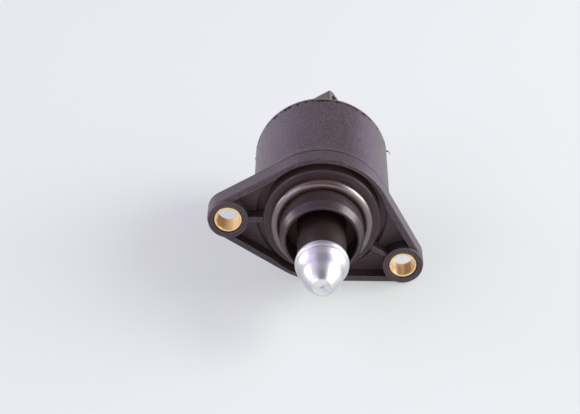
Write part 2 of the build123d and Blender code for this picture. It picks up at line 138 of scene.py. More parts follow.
class NodeGraph:
    """Shader nodes of one material, with its principled shader and object coordinates."""

    edge_samples: int = 6
    edge_span: Span = (0.99, 0.78)
    recess_samples: int = 8
    recess_span: Span = (0.75, 0.2)
    mix_inputs: tuple[int, int] = (6, 7)
    mix_output: int = 2

    def __init__(self, name: str) -> None:
        """Makes an empty material with a shader wired to its output.

        Args:
            name: The material's name.
        """
        self.material = bpy.data.materials.new(name)
        self.material.use_nodes = True
        self.tree = self.material.node_tree
        self.tree.nodes.clear()
        self.output = self.tree.nodes.new("ShaderNodeOutputMaterial")
        self.shader = self.tree.nodes.new("ShaderNodeBsdfPrincipled")
        self.wire(self.shader.outputs["BSDF"], self.output.inputs["Surface"])
        self.place = self.tree.nodes.new("ShaderNodeTexCoord").outputs["Object"]

    @classmethod
    def of_tree(cls, tree: bpy.types.NodeTree) -> "NodeGraph":
        """Gives a graph that adds its nodes to a tree that is there already.

        Args:
            tree: The tree, such as the world's.

        Returns:
            The graph, without a shader of its own.
        """
        graph = cls.__new__(cls)
        graph.tree = tree
        return graph

    def wire(self, source: Socket, target: Socket) -> None:
        """Links two sockets."""
        self.tree.links.new(source, target)

    def give(self, socket: Socket, value: object) -> None:
        """Feeds a socket from another socket, or sets its constant.

        Args:
            socket: The socket to feed.
            value: A node socket, a number or a tuple.
        """
        if isinstance(value, Socket):
            self.wire(value, socket)
        else:
            socket.default_value = value

    def set(self, **values: object) -> None:
        """Sets sockets of the shader by name, with underscores for spaces."""
        for name, value in values.items():
            self.give(self.shader.inputs[name.replace("_", " ")], value)

    def mapped(self, scale: Triple) -> Socket:
        """Gives object coordinates scaled.

        Args:
            scale: Scale along the three axes.

        Returns:
            The vector socket.
        """
        node = self.tree.nodes.new("ShaderNodeMapping")
        self.wire(self.place, node.inputs["Vector"])
        node.inputs["Scale"].default_value = scale
        return node.outputs["Vector"]

    def noise(self, vector: Socket, marks: Marks) -> Socket:
        """Gives a noise value from 0 to 1.

        Args:
            vector: Coordinates of the noise.
            marks: Size and strength of its marks.

        Returns:
            The value socket.
        """
        node = self.tree.nodes.new("ShaderNodeTexNoise")
        self.wire(vector, node.inputs["Vector"])
        node.inputs["Scale"].default_value = marks.scale
        node.inputs["Detail"].default_value = marks.detail
        node.inputs["Roughness"].default_value = marks.rough
        node.inputs["Distortion"].default_value = marks.bend
        return node.outputs["Fac"]

    def cells(self, scale: float) -> Socket:
        """Gives the distance to the nearest of scattered points.

        Args:
            scale: Points to a metre.

        Returns:
            The value socket.
        """
        node = self.tree.nodes.new("ShaderNodeTexVoronoi")
        self.wire(self.place, node.inputs["Vector"])
        node.inputs["Scale"].default_value = scale
        return node.outputs["Distance"]

    def math(self, kind: str, first: object, second: object = 0.0) -> Socket:
        """Gives a sum, product or other function of two values.

        Args:
            kind: Blender's name of the operation.
            first: Socket or number.
            second: Socket or number.

        Returns:
            The value socket.
        """
        node = self.tree.nodes.new("ShaderNodeMath")
        node.operation = kind
        self.give(node.inputs[0], first)
        self.give(node.inputs[1], second)
        return node.outputs[0]

    def ramp(self, value: Socket, low: float, high: float, start: float = 0.0, end: float = 1.0) -> Socket:
        """Gives a value stretched from one span to another, held at its ends.

        Args:
            value: Socket to stretch.
            low: Start of the span read.
            high: End of the span read.
            start: Result at the start.
            end: Result at the end.

        Returns:
            The value socket.
        """
        node = self.tree.nodes.new("ShaderNodeMapRange")
        self.wire(value, node.inputs["Value"])
        node.inputs["From Min"].default_value = low
        node.inputs["From Max"].default_value = high
        node.inputs["To Min"].default_value = start
        node.inputs["To Max"].default_value = end
        return node.outputs["Result"]

    def blend(self, part: Socket, first: object, second: object) -> Socket:
        """Gives a colour between two colours.

        Args:
            part: Share of the second colour.
            first: Colour socket or colour.
            second: Colour socket or colour.

        Returns:
            The colour socket.
        """
        node = self.tree.nodes.new("ShaderNodeMix")
        node.data_type = "RGBA"
        self.wire(part, node.inputs["Factor"])
        for index, value in zip(self.mix_inputs, (first, second)):
            self.give(node.inputs[index], value if isinstance(value, Socket) else (*value, 1.0))
        return node.outputs[self.mix_output]

    def soft_edge(self, radius: float) -> Socket:
        """Gives normals that round the piece's edges.

        Args:
            radius: Radius of the rounding.

        Returns:
            The normal socket.
        """
        node = self.tree.nodes.new("ShaderNodeBevel")
        node.samples = self.edge_samples
        node.inputs["Radius"].default_value = radius
        return node.outputs["Normal"]

    def edge_mask(self, normal: Socket) -> Socket:
        """Gives 0 on open faces and up to 1 where rounded normals leave the true ones.

        Args:
            normal: Normals with rounded edges.

        Returns:
            The value socket.
        """
        node = self.tree.nodes.new("ShaderNodeVectorMath")
        node.operation = "DOT_PRODUCT"
        self.wire(normal, node.inputs[0])
        self.wire(self.tree.nodes.new("ShaderNodeNewGeometry").outputs["Normal"], node.inputs[1])
        return self.ramp(node.outputs["Value"], *self.edge_span)

    def lean(self) -> Socket:
        """Gives 0 on faces that run along the nose axis and 1 on faces square to it.

        Returns:
            The value socket.
        """
        split = self.tree.nodes.new("ShaderNodeSeparateXYZ")
        self.wire(self.tree.nodes.new("ShaderNodeNewGeometry").outputs["True Normal"], split.inputs[0])
        return self.math("ABSOLUTE", split.outputs[1])

    def recess(self, reach: float) -> Socket:
        """Gives 0 on open faces and up to 1 deep in corners and hollows.

        Args:
            reach: Distance of the walls that shade a place.

        Returns:
            The value socket.
        """
        node = self.tree.nodes.new("ShaderNodeAmbientOcclusion")
        node.samples = self.recess_samples
        node.inputs["Distance"].default_value = reach
        return self.ramp(node.outputs["AO"], *self.recess_span)

    def bump(self, height: Socket, depth: float, strength: float, normal: Socket | None = None) -> Socket:
        """Gives normals pressed by a height.

        Args:
            height: Height from 0 to 1.
            depth: Height of 1 in metres.
            strength: Share of the effect.
            normal: Normals to start from.

        Returns:
            The normal socket.
        """
        node = self.tree.nodes.new("ShaderNodeBump")
        self.wire(height, node.inputs["Height"])
        node.inputs["Distance"].default_value = depth
        node.inputs["Strength"].default_value = strength
        if normal is not None:
            self.wire(normal, node.inputs["Normal"])
        return node.outputs["Normal"]

    def radius_and_depth(self, axis: NoseAxis) -> tuple[Socket, Socket]:
        """Gives the distance from an axis and the depth along it, in metres.

        Args:
            axis: Axis of the piece.

        Returns:
            Radius and depth sockets.
        """
        split = self.tree.nodes.new("ShaderNodeSeparateXYZ")
        self.wire(self.place, split.inputs[0])
        wide = self.math("SUBTRACT", split.outputs[0], axis.x)
        tall = self.math("SUBTRACT", split.outputs[2], axis.z)
        square = self.math("ADD", self.math("MULTIPLY", wide, wide), self.math("MULTIPLY", tall, tall))
        return self.math("SQRT", square), self.math("MULTIPLY", split.outputs[1], -1.0)

    def round_place(self, axis: NoseAxis) -> Socket:
        """Gives coordinates by radius and depth alone, for marks that run round the axis.

        Args:
            axis: Axis of the piece.

        Returns:
            The vector socket.
        """
        radius, depth = self.radius_and_depth(axis)
        join = self.tree.nodes.new("ShaderNodeCombineXYZ")
        self.wire(radius, join.inputs[0])
        self.wire(depth, join.inputs[1])
        return join.outputs[0]


@dataclass(frozen=True)
class NoseMarks:
    """Marks of the outer mouldings that depend on the place about the nose axis.

    They are the smooth collar and tube off the mould's core, the dull wall of the well painted a lighter
    brown as fill light, dark blots beside the welded seam painted as shadow along the cover's rim, and
    painted shadow in the joint of flange and housing.
    """

    axis: NoseAxis
    seam: float
    joint: float
    core_reach: float = 16.6 * MM
    core_fade: float = 0.3 * MM
    core_depths: Span = (-3.2 * MM, -2.6 * MM)
    core_tone: Colour = (0.012, 0.007, 0.006)
    core_share: float = 0.45
    core_polish: Span = (0.26, 0.36)
    core_grit: float = 0.25
    core_grain: float = 0.15
    core_rings: Marks = Marks(2600.0, 3.0, 0.6)
    ring_height: float = 0.3
    # Wall of the well, painted a lighter brown as fill light and made duller.
    well_reach: float = 9.7 * MM
    well_fade: float = 0.12 * MM
    well_fill_light: Colour = (0.06, 0.034, 0.0225)
    well_fill_share: float = 0.8
    well_dulling: float = 0.3
    # Painted shadow in ragged blots beside the seam of the rear cover.
    seam_reach: float = 1.3 * MM
    seam_near: float = 0.15
    seam_back: float = 0.1
    blots: Marks = Marks(1100.0, 3.0, 0.65)
    blot_crowding: float = 0.35
    blot_span: Span = (0.66, 0.78)
    seam_shadow_tone: Colour = (0.006, 0.004, 0.004)
    seam_blot_gloss: float = 0.12
    # Painted shadow in the joint of flange and housing.
    joint_width: float = 0.2 * MM
    joint_lean: Span = (0.6, 0.3)
    joint_shadow_tone: Colour = (0.003, 0.002, 0.002)
    joint_dulling: float = 0.4

    def core(self, graph: NodeGraph) -> Socket:
        """Gives 1 on the smooth collar and tube and 0 elsewhere.

        Args:
            graph: Graph of the material.

        Returns:
            The value socket.
        """
        radius, depth = graph.radius_and_depth(self.axis)
        inside = graph.ramp(radius, self.core_reach, self.core_reach - self.core_fade)
        return graph.math("MULTIPLY", inside, graph.ramp(depth, *self.core_depths))

    def well(self, graph: NodeGraph) -> Socket:
        """Gives 1 on the dull wall inside the tube and 0 elsewhere."""
        radius, _ = graph.radius_and_depth(self.axis)
        return graph.ramp(radius, self.well_reach + self.well_fade, self.well_reach)

    def seam_shadow(self, graph: NodeGraph) -> Socket:
        """Gives up to 1 in ragged blots beside the seam, where shadow is painted, and 0 elsewhere.

        Args:
            graph: Graph of the material.

        Returns:
            The value socket.
        """
        _, depth = graph.radius_and_depth(self.axis)
        near = self.seam + self.seam_near * self.seam_reach
        ahead = graph.ramp(depth, self.seam + self.seam_reach, near)
        behind = graph.ramp(depth, self.seam - self.seam_back * self.seam_reach, self.seam)
        blots = graph.noise(graph.place, self.blots)
        ragged = graph.math("ADD", blots, graph.math("MULTIPLY", ahead, self.blot_crowding))
        band = graph.math("MULTIPLY", ahead, behind)
        return graph.math("MULTIPLY", graph.ramp(ragged, *self.blot_span), band)

    def joint_shadow(self, graph: NodeGraph) -> Socket:
        """Gives 1 along the fine joint between flange and housing, where shadow is painted, and 0
        elsewhere.

        Args:
            graph: Graph of the material.

        Returns:
            The value socket.
        """
        _, depth = graph.radius_and_depth(self.axis)
        off = graph.math("ABSOLUTE", graph.math("SUBTRACT", depth, self.joint))
        line = graph.ramp(off, 2 * self.joint_width, self.joint_width)
        return graph.math("MULTIPLY", line, graph.ramp(graph.lean(), *self.joint_lean))

    def painted_light_shade_and_dulling(self, graph: NodeGraph, tone: Socket, rough: Socket) -> tuple[Socket, Socket]:
        """Lays the well's painted fill light and dullness, and the painted shadows beside the seam and in
        the joint, over a finish.

        Args:
            graph: Graph of the material.
            tone: Colour of the finish.
            rough: Roughness of the finish.

        Returns:
            Colour and roughness sockets.
        """
        # Painted fill light: the deep wall of the well is lightened to a brown tone.
        deep = self.well(graph)
        tone = graph.blend(graph.math("MULTIPLY", deep, self.well_fill_share), tone, self.well_fill_light)
        rough = graph.math("ADD", rough, graph.math("MULTIPLY", deep, self.well_dulling))
        # Painted shadow: dark blots along the seam of the rear cover.
        seam_dark = self.seam_shadow(graph)
        tone = graph.blend(seam_dark, tone, self.seam_shadow_tone)
        rough = graph.math("SUBTRACT", rough, graph.math("MULTIPLY", seam_dark, self.seam_blot_gloss))
        # Painted shadow: a dark line in the joint of flange and housing.
        joint_dark = self.joint_shadow(graph)
        tone = graph.blend(joint_dark, tone, self.joint_shadow_tone)
        rough = graph.math("ADD", rough, graph.math("MULTIPLY", joint_dark, self.joint_dulling))
        return tone, rough


@dataclass(frozen=True)
class MouldedPlastic:
    """Glass-filled moulded plastic: dull grain, flow marks, drag lines, pale flecks, painted highlights on
    its edges and painted fill light in its hollows.

    Nose marks add what depends on the place, and a rim radius adds a painted golden highlight on the
    outer rim.
    """

    name: str
    colour: Colour
    flow: Colour
    fleck: Colour
    gloss: Span = (0.31, 0.46)
    sheen: Colour = (1.0, 0.835, 0.965)
    shine: float = 0.5
    lay: Grain = Grain.EVEN
    grain: float = 2400.0
    grain_rough: float = 0.75
    depth: float = 0.07 * MM
    press: float = 0.7
    flow_marks: Marks = Marks(150.0, 5.0, 0.55, 0.6)
    flow_scale: float = 0.35
    flow_span: Span = (0.32, 0.7)
    drag_marks: Marks = Marks(1900.0, 3.0, 0.6)
    drag_span: Span = (0.25, 0.75)
    drag_height: float = 0.5
    grit_span: Span = (0.46, 0.68)
    grit_share: float = 0.6
    streak_span: Span = (0.5, 0.75)
    streak_share: float = 0.2
    fleck_scale: float = 620.0
    fleck_span: Span = (0.1, 0.03)
    fleck_share: float = 0.5
    edge: float = 0.28 * MM
    # Painted highlights on edges: their share and their pale tone.
    edge_highlight_share: float = 0.55
    edge_highlight_tone: Colour = (0.16, 0.13, 0.14)
    # Painted fill light in hollows: its brown tone, share and reach.
    hollow_fill_light: Colour = (0.108, 0.07, 0.056)
    hollow_fill_share: float = 0.75
    hollow_fill_reach: float = 7.0 * MM
    marks: NoseMarks | None = None
    # Radius of the outer rim, and the painted golden highlight laid on it.
    rim: float = 0.0
    rim_band: Span = (0.4 * MM, 0.15 * MM)
    rim_highlight_share: float = 0.75
    rim_flow: Span = (0.0, 0.6)
    rim_least: float = 0.55
    rim_highlight_tone: Colour = (0.26, 0.16, 0.08)

    def rim_highlight(self, graph: NodeGraph, flow: Socket) -> Socket:
        """Gives the share of the painted golden highlight on the outer rim and 0 elsewhere.

        Args:
            graph: Graph of the material.
            flow: Flow marks, which break the highlight up.

        Returns:
            The value socket.
        """
        radius, _ = graph.radius_and_depth(self.marks.axis)
        start, full = (self.rim - inset for inset in self.rim_band)
        rim_lit = graph.ramp(radius, start, full, 0.0, self.rim_highlight_share)
        return graph.math("MULTIPLY", rim_lit, graph.ramp(flow, *self.rim_flow, self.rim_least, 1.0))

    def build(self) -> Material:
        """Makes the material.

        Returns:
            The material.
        """
        graph = NodeGraph(self.name)
        grain_scale, drag_scale = self.lay.value
        flow = graph.noise(graph.mapped((1.0, self.flow_scale, 1.0)), self.flow_marks)
        flow = graph.ramp(flow, *self.flow_span)
        grain = Marks(self.grain, rough=self.grain_rough)
        coarse = graph.noise(graph.mapped((1.0, grain_scale, 1.0)), grain)
        drag = graph.noise(graph.mapped((1.0, drag_scale, 1.0)), self.drag_marks)
        grit = graph.ramp(coarse, *self.grit_span, 0.0, self.grit_share)
        height = graph.math("ADD", coarse, graph.math("MULTIPLY", drag, self.drag_height))
        rough = graph.ramp(drag, *self.drag_span, *self.gloss)
        tone = graph.blend(flow, self.colour, self.flow)
        marks = self.marks
        if marks is not None:
            core = marks.core(graph)
            dull = graph.math("SUBTRACT", 1.0, core)
            grit = graph.math("MULTIPLY", grit, graph.ramp(dull, 0.0, 1.0, marks.core_grit, 1.0))
            height = graph.math("MULTIPLY", height, graph.ramp(dull, 0.0, 1.0, marks.core_grain, 1.0))
            rings = graph.noise(graph.round_place(marks.axis), marks.core_rings)
            rings = graph.math("MULTIPLY", graph.math("MULTIPLY", rings, core), marks.ring_height)
            height = graph.math("ADD", height, rings)
            smooth = graph.math("MULTIPLY", graph.ramp(drag, *self.drag_span, *marks.core_polish), core)
            rough = graph.math("ADD", graph.math("MULTIPLY", rough, dull), smooth)
            tone = graph.blend(graph.math("MULTIPLY", core, marks.core_share), tone, marks.core_tone)
        streak = graph.ramp(drag, *self.streak_span, 0.0, self.streak_share)
        flecks = graph.ramp(graph.cells(self.fleck_scale), *self.fleck_span, 0.0, self.fleck_share)
        for share in (grit, streak, flecks):
            tone = graph.blend(share, tone, self.fleck)
        normal = graph.soft_edge(self.edge)
        # Painted highlights: edges are lightened where the rounded normals bend.
        edge_highlighted = graph.math("MULTIPLY", graph.edge_mask(normal), self.edge_highlight_share)
        tone = graph.blend(edge_highlighted, tone, self.edge_highlight_tone)
        # Painted highlight: a golden line along the outer rim.
        if self.rim:
            tone = graph.blend(self.rim_highlight(graph, flow), tone, self.rim_highlight_tone)
        # Painted fill light: hollows are lightened towards a brown tone as far as their surroundings close
        # them in.
        hollow_filled = graph.math("MULTIPLY", graph.recess(self.hollow_fill_reach), self.hollow_fill_share)
        tone = graph.blend(hollow_filled, tone, self.hollow_fill_light)
        if marks is not None:
            tone, rough = marks.painted_light_shade_and_dulling(graph, tone, rough)
        pressed = graph.bump(height, self.depth, self.press, normal)
        graph.set(Base_Color=tone, Roughness=rough, Normal=pressed, Specular_IOR_Level=self.shine,
                  Specular_Tint=(*self.sheen, 1.0))
        return graph.material


@dataclass(frozen=True)
class MouldedRubber:
    """Black nitrile with a soft shine, dust dots and a brown bloom."""

    name: str
    colour: Colour
    bloom: Colour
    gloss: Span = (0.29, 0.36)
    gloss_span: Span = (0.3, 0.7)
    sheen: Colour = (1.0, 0.85, 0.92)
    shine: float = 1.0
    index: float = 1.9
    cloud: Marks = Marks(260.0, 4.0, 0.6)
    bloom_span: Span = (0.42, 0.72)
    ripple: Marks = Marks(900.0, 2.0)
    ripple_depth: float = 0.0008 * MM
    ripple_press: float = 0.2
    dot_scale: float = 1300.0
    dot_span: Span = (0.1, 0.02)
    dot_share: float = 0.4
    dot_tone: Colour = (0.12, 0.1, 0.1)

    def build(self) -> Material:
        """Makes the material.

        Returns:
            The material.
        """
        graph = NodeGraph(self.name)
        cloud = graph.noise(graph.place, self.cloud)
        ripple = graph.noise(graph.place, self.ripple)
        dots = graph.ramp(graph.cells(self.dot_scale), *self.dot_span, 0.0, self.dot_share)
        tone = graph.blend(graph.ramp(cloud, *self.bloom_span), self.colour, self.bloom)
        tone = graph.blend(dots, tone, self.dot_tone)
        graph.set(Base_Color=tone, Roughness=graph.ramp(cloud, *self.gloss_span, *self.gloss),
                  Normal=graph.bump(ripple, self.ripple_depth, self.ripple_press),
                  Specular_IOR_Level=self.shine, IOR=self.index, Specular_Tint=(*self.sheen, 1.0))
        return graph.material


@dataclass(frozen=True)
class TurnedMetal:
    """Bare metal off a lathe: fine rings round the axis and a light tarnish.

    Reaches above 0 add brown stains at the centre and a bright faced end, and a groove depth adds
    painted shade along its groove.
    """

    name: str
    colour: Colour
    tarnish: Colour
    axis: NoseAxis
    gloss: Span = (0.37, 0.47)
    gloss_span: Span = (0.25, 0.75)
    rings: Marks = Marks(5200.0, 5.0, 0.7)
    ring_span: Span = (0.5, 0.8)
    ring_share: float = 0.5
    depth: float = 0.014 * MM
    press: float = 0.5
    edge: float = 0.06 * MM
    cloud: Marks = Marks(420.0, 5.0, 0.6, 0.4)
    cloud_span: Span = (0.45, 0.75)
    faced_reach: float = 0.0
    faced_fade: float = 0.2 * MM
    worn_share: float = 0.7
    stain: Colour = (0.34, 0.17, 0.08)
    stain_reach: float = 0.0
    stain_full: float = 0.2
    blots: Marks = Marks(2600.0, 3.0, 0.6)
    blot_span: Span = (0.42, 0.6)
    # Groove, darkened along its line as painted shade.
    groove: float = 0.0
    groove_width: float = 0.13 * MM
    groove_shade_share: float = 0.65
    groove_shade_tone: Colour = (0.15, 0.14, 0.155)

    def build(self) -> Material:
        """Makes the material.

        Returns:
            The material.
        """
        graph = NodeGraph(self.name)
        turned = graph.noise(graph.round_place(self.axis), self.rings)
        radius, depth = graph.radius_and_depth(self.axis)
        dull = graph.ramp(graph.noise(graph.place, self.cloud), *self.cloud_span)
        if self.faced_reach:
            beyond = self.faced_reach + self.faced_fade
            worn = graph.ramp(radius, self.faced_reach, beyond, 0.0, self.worn_share)
            dull = graph.math("MAXIMUM", dull, worn)
        tone = graph.blend(dull, self.colour, self.tarnish)
        tone = graph.blend(graph.ramp(turned, *self.ring_span, 0.0, self.ring_share), tone, self.tarnish)
        if self.stain_reach:
            near = graph.ramp(radius, self.stain_reach, self.stain_full * self.stain_reach)
            blots = graph.ramp(graph.noise(graph.place, self.blots), *self.blot_span)
            tone = graph.blend(graph.math("MULTIPLY", near, blots), tone, self.stain)
        # Painted shade: the groove is darkened along its line.
        if self.groove:
            off = graph.math("ABSOLUTE", graph.math("SUBTRACT", depth, self.groove))
            line = graph.ramp(off, 2 * self.groove_width, self.groove_width, 0.0, self.groove_shade_share)
            tone = graph.blend(line, tone, self.groove_shade_tone)
        normal = graph.bump(turned, self.depth, self.press, graph.soft_edge(self.edge))
        rough = graph.ramp(turned, *self.gloss_span, *self.gloss)
        graph.set(Base_Color=tone, Roughness=rough, Normal=normal, Metallic=1.0)
        return graph.material


@dataclass(frozen=True)
class PlatedMetal:
    """Stamped or sintered metal with a mottled skin, and pores where it has them, darkened as painted
    shade.
    """

    name: str
    colour: Colour
    stain: Colour
    gloss: Span = (0.25, 0.42)
    gloss_span: Span = (0.3, 0.7)
    mottle: float = 700.0
    mottle_detail: float = 5.0
    mottle_rough: float = 0.6
    mottle_span: Span = (0.4, 0.75)
    # Pores, darkened as painted shade and pressed in.
    pores: float = 0.0
    pore_scale: float = 3200.0
    pore_span: Span = (0.25, 0.05)
    pore_shade_tone: Colour = (0.02, 0.018, 0.016)
    metal: float = 1.0
    fine: Marks = Marks(6500.0, 2.0)
    depth: float = 0.006 * MM
    press: float = 0.4
    edge: float = 0.06 * MM

    def build(self) -> Material:
        """Makes the material.

        Returns:
            The material.
        """
        graph = NodeGraph(self.name)
        cloud = graph.noise(graph.place, Marks(self.mottle, self.mottle_detail, self.mottle_rough))
        fine = graph.noise(graph.place, self.fine)
        pits = graph.ramp(graph.cells(self.pore_scale), *self.pore_span, 0.0, self.pores)
        tone = graph.blend(graph.ramp(cloud, *self.mottle_span), self.colour, self.stain)
        # Painted shade: pores are darkened.
        tone = graph.blend(pits, tone, self.pore_shade_tone)
        skin = graph.math("SUBTRACT", fine, pits)
        normal = graph.bump(skin, self.depth, self.press, graph.soft_edge(self.edge))
        rough = graph.ramp(cloud, *self.gloss_span, *self.gloss)
        graph.set(Base_Color=tone, Roughness=rough, Normal=normal, Metallic=self.metal)
        return graph.material


@dataclass(frozen=True)
class PaleFloor:
    """Plain pale floor under the part, half self-lit where it is seen, so that its shadow stays light."""

    name: str
    colour: Colour
    glow: Colour
    share: float = 0.52
    cloud: Marks = Marks(6.0, 2.0, 0.4)
    cloud_dimming: float = 0.985
    rough: float = 0.85
    shine: float = 0.15

    def build(self) -> Material:
        """Makes the material.

        Returns:
            The material.
        """
        graph = NodeGraph(self.name)
        dimmed = tuple(self.cloud_dimming * part for part in self.colour)
        tone = graph.blend(graph.noise(graph.place, self.cloud), self.colour, dimmed)
        graph.set(Base_Color=tone, Roughness=self.rough, Specular_IOR_Level=self.shine)
        light = graph.tree.nodes.new("ShaderNodeEmission")
        light.inputs["Color"].default_value = (*self.glow, 1.0)
        path = graph.tree.nodes.new("ShaderNodeLightPath")
        seen = graph.math("MAXIMUM", path.outputs["Is Camera Ray"], path.outputs["Is Glossy Ray"])
        seen = graph.math("MAXIMUM", seen, path.outputs["Is Transmission Ray"])
        mix = graph.tree.nodes.new("ShaderNodeMixShader")
        graph.wire(graph.math("MULTIPLY", seen, self.share), mix.inputs["Fac"])
        graph.wire(graph.shader.outputs["BSDF"], mix.inputs[1])
        graph.wire(light.outputs["Emission"], mix.inputs[2])
        graph.wire(mix.outputs["Shader"], graph.output.inputs["Surface"])
        return graph.material


def rounded(corners: list[Corner], steps: int = 5, closed: bool = True) -> list[Point]:
    """Rounds the corners of a profile.

    Args:
        corners: Corners in order.
        steps: Straight pieces of each rounding.
        closed: Whether the last corner joins the first.

    Returns:
        Points by radius and depth.
    """
    points: list[Point] = []
    count = len(corners)
    for index, corner in enumerate(corners):
        here = Vector((corner.radius, corner.depth))
        if corner.round <= 0.0 or (not closed and index in (0, count - 1)):
            points.append((here.x, here.y))
            continue
        before = corners[index - 1]
        after = corners[(index + 1) % count]
        back = Vector((before.radius, before.depth)) - here
        ahead = Vector((after.radius, after.depth)) - here
        reach = min(corner.round, LONGEST_ROUNDING * back.length, LONGEST_ROUNDING * ahead.length)
        start = here + back.normalized() * reach
        end = here + ahead.normalized() * reach
        points += [arc_point(start, here, end, step / steps) for step in range(steps + 1)]
    return points


def arc_point(start: Vector, pull: Vector, end: Vector, share: float) -> Point:
    """Gives a point of the curve from start to end that bends towards a third point.

    Args:
        start: Start of the curve.
        pull: Point that the curve bends towards.
        end: End of the curve.
        share: Place along the curve, from 0 to 1.

    Returns:
        The point by radius and depth.
    """
    place = (1 - share) ** 2 * start + 2 * share * (1 - share) * pull + share ** 2 * end
    return place.x, place.y


def join_rings(shape: bmesh.types.BMesh, first: list[bmesh.types.BMVert], second: list[bmesh.types.BMVert]
               ) -> None:
    """Adds a band of faces between two rings of as many points.

    Args:
        shape: Mesh to add to.
        first: Points of one ring.
        second: Points of the other ring.
    """
    for index in range(len(first)):
        after = (index + 1) % len(first)
        shape.faces.new((first[index], first[after], second[after], second[index]))


def turned_mesh(name: str, axis: NoseAxis, profile: list[Point], segments: int,
                closed: bool = True) -> Piece:
    """Turns a profile round an axis.

    Args:
        name: The piece's name.
        axis: Axis of the turn.
        profile: Points by radius and depth.
        segments: Straight pieces round the axis.
        closed: Whether the profile is a closed ring; an open one starts and ends on the axis.

    Returns:
        The object.
    """
    shape = bmesh.new()
    rings: list[list[bmesh.types.BMVert]] = []
    for radius, depth in profile:
        if radius < ON_AXIS:
            rings.append([shape.verts.new(axis.point(0.0, 0.0, depth))])
            continue
        turns = (math.tau * index / segments for index in range(segments))
        rings.append([shape.verts.new(axis.point(radius, turn, depth)) for turn in turns])
    pairs = list(zip(rings, rings[1:]))
    if closed:
        pairs.append((rings[-1], rings[0]))
    for first, second in pairs:
        for index in range(segments):
            after = (index + 1) % segments
            loop = [first[index % len(first)], first[after % len(first)],
                    second[after % len(second)], second[index % len(second)]]
            unique = list(dict.fromkeys(loop))
            if len(unique) > 2:
                shape.faces.new(unique)
    bmesh.ops.recalc_face_normals(shape, faces=shape.faces)
    return mesh_object(name, shape)


def mesh_object(name: str, shape: bmesh.types.BMesh, sharp: float = SHARP_ANGLE) -> Piece:
    """Makes an object of a mesh, smooth but for its sharp edges.

    Args:
        name: The piece's name.
        shape: The mesh, which is freed.
        sharp: Angle in degrees over which an edge stays sharp.

    Returns:
        The object.
    """
    mesh = bpy.data.meshes.new(name)
    shape.to_mesh(mesh)
    shape.free()
    mesh.shade_smooth()
    mesh.set_sharp_from_angle(angle=math.radians(sharp))
    piece = bpy.data.objects.new(name, mesh)
    bpy.context.scene.collection.objects.link(piece)
    return piece


def dress(piece: Piece, material: Material) -> None:
    """Puts a material on every slot of an object.

    Args:
        piece: The object.
        material: Its new material.
    """
    if not piece.material_slots:
        piece.data.materials.append(material)
    for slot in piece.material_slots:
        slot.material = material


def fit(piece: Piece, body: Body, slot: str, material: Material, *nodes: str) -> None:
    """Dresses a new piece, rides it on a body and hides the nodes that it replaces.

    Args:
        piece: The object.
        body: Body that carries it.
        slot: Material slot of the record; not used.
        material: Its material.
        nodes: Nodes of the frame that it replaces.
    """
    dress(piece, material)
    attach(piece, body.value)
    if nodes:
        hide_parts(*nodes)
    LOG.info("%s: %d faces on %s", piece.name, len(piece.data.polygons), body.value)


